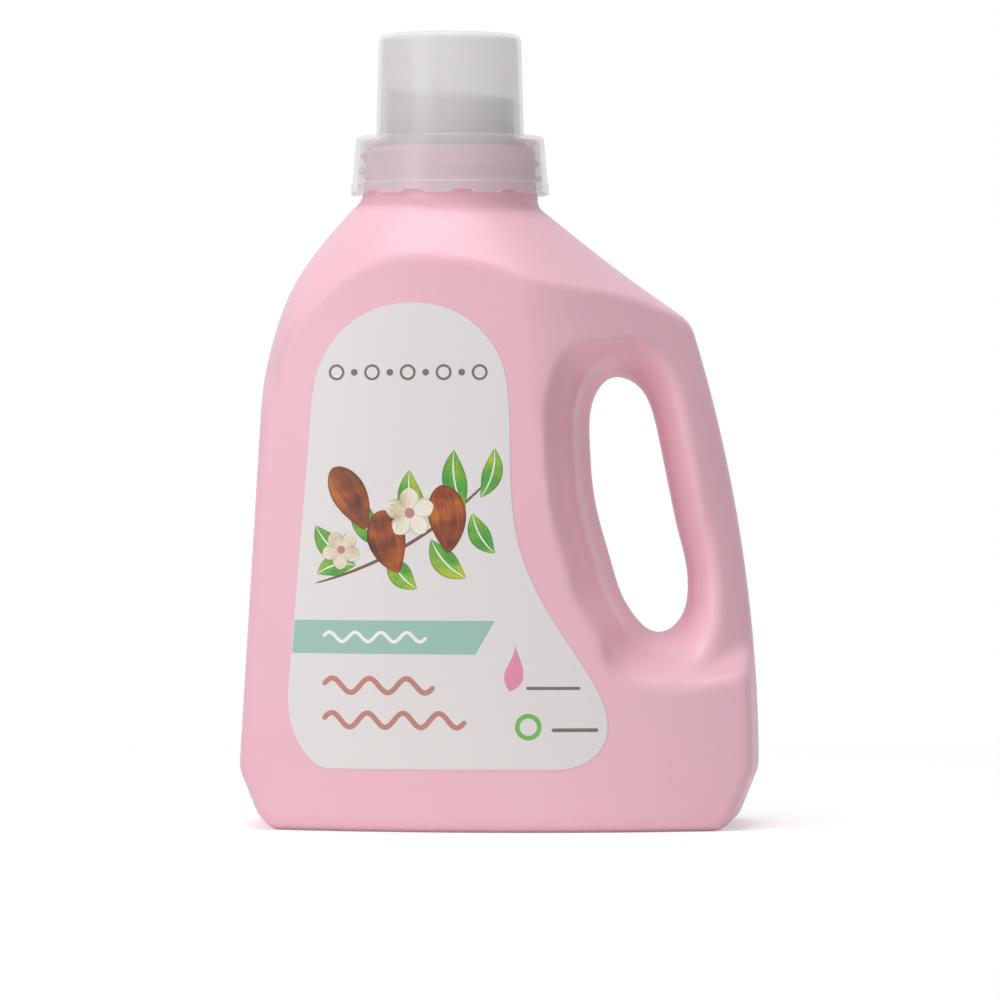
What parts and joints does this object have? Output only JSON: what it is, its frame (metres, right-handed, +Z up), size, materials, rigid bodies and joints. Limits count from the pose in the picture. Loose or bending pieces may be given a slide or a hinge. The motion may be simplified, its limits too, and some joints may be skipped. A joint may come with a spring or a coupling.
{
  "type": "laundry detergent bottle",
  "caption": "Handled blow-moulded bottle for liquid laundry detergent, with a pour spout in its neck and a screw cap that serves as the dosing cup.",
  "frame": {"origin": "middle of the base, on the surface that the bottle stands on", "axes": "+Z up along the bottle's height, -Y out of the front label, +X towards the handle"},
  "size_m": [0.1708, 0.0903, 0.2618],
  "materials": {
    "bottle_plastic": "blow-moulded HDPE, pastel pink, soft satin sheen",
    "spout_plastic": "injection-moulded natural LDPE, milky and translucent",
    "cap_plastic": "injection-moulded natural polypropylene, milky and translucent",
    "label_film": "printed polypropylene film, near white"
  },
  "bodies": {
    "bottle": {"bottle": "bottle_plastic", "pour_spout": "spout_plastic", "front_label": "label_film"},
    "cap": {"dosing_cap": "cap_plastic"}
  },
  "joints": [
    {"name": "cap_lift", "type": "slide", "parent": "bottle", "child": "cap", "axis": [0, 0, 1], "range_m": [0, 0.05]}
  ]
}
